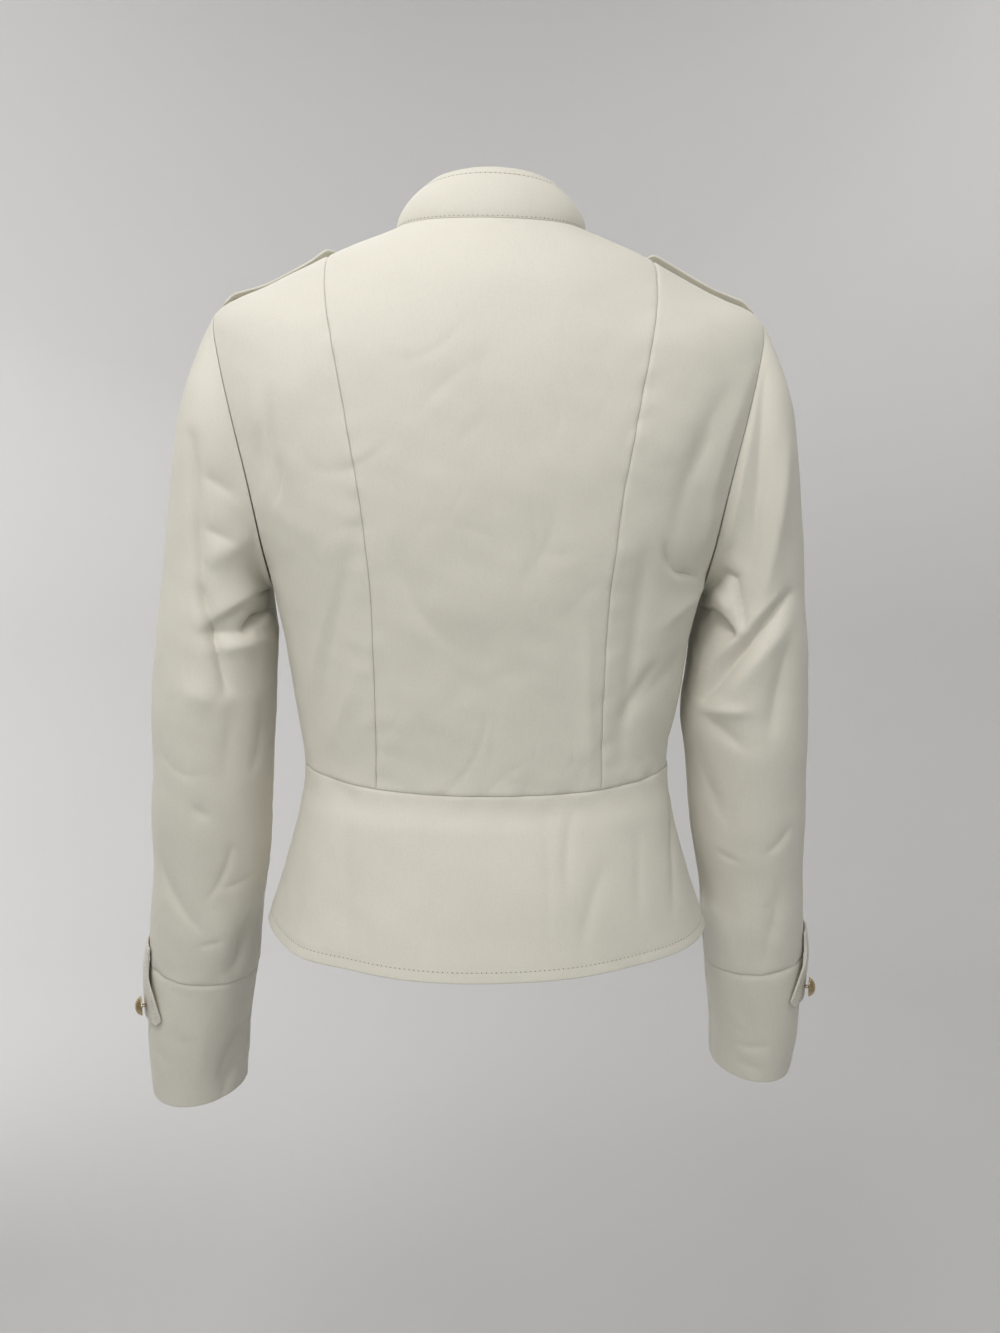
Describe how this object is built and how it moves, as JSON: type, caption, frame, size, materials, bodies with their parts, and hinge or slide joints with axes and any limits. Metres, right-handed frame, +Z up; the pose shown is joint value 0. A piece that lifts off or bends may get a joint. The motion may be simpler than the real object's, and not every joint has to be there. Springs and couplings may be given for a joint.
{
  "type": "cropped zip jacket",
  "caption": "Cropped cotton jacket with a stand collar, zip front, princess seams, epaulettes, buttoned cuff tabs and a short flared peplum, keeping the hollow form of a worn garment.",
  "frame": {"origin": "middle of the neck, level with the top of the shoulder seams, where the wearer's shoulders and neck hold the jacket", "axes": "+Z up, the fronts and the zip face -Y, the wearer's left side is +X"},
  "size_m": [0.5484, 0.2653, 0.7056],
  "materials": {
    "cotton_sateen": "off-white cotton sateen, fine weave, matt with a faint sheen, topstitched in matching thread",
    "zip_tape": "off-white woven zip tape",
    "zip_metal": "light brass, polished",
    "button_metal": "antique brass, plain domed face"
  },
  "bodies": {
    "jacket": {"back_centre": "cotton_sateen", "back_side_left": "cotton_sateen", "back_side_right": "cotton_sateen", "front_side_left": "cotton_sateen", "front_side_right": "cotton_sateen", "front_centre_left": "cotton_sateen", "front_centre_right": "cotton_sateen", "collar": "cotton_sateen", "peplum_back": "cotton_sateen", "peplum_front_left": "cotton_sateen", "peplum_front_right": "cotton_sateen", "sleeve_left": "cotton_sateen", "sleeve_right": "cotton_sateen", "cuff_left": "cotton_sateen", "cuff_right": "cotton_sateen", "epaulette_left": "cotton_sateen", "epaulette_right": "cotton_sateen", "cuff_tab_left": "cotton_sateen", "cuff_tab_right": "cotton_sateen", "epaulette_button_left": "button_metal", "epaulette_button_right": "button_metal", "cuff_button_left": "button_metal", "cuff_button_right": "button_metal", "zip_tape_left": "zip_tape", "zip_tape_right": "zip_tape", "zip_box": "zip_metal", "zip_slider": "zip_metal"},
    "zip_pull": {"zip_pull": "zip_metal"}
  },
  "joints": [
    {"name": "pull_hinge", "type": "hinge", "parent": "jacket", "child": "zip_pull", "pos_m": [0, -0.06059, -0.04016], "axis": [-1, 0, 0], "range_deg": [0, 160]}
  ]
}
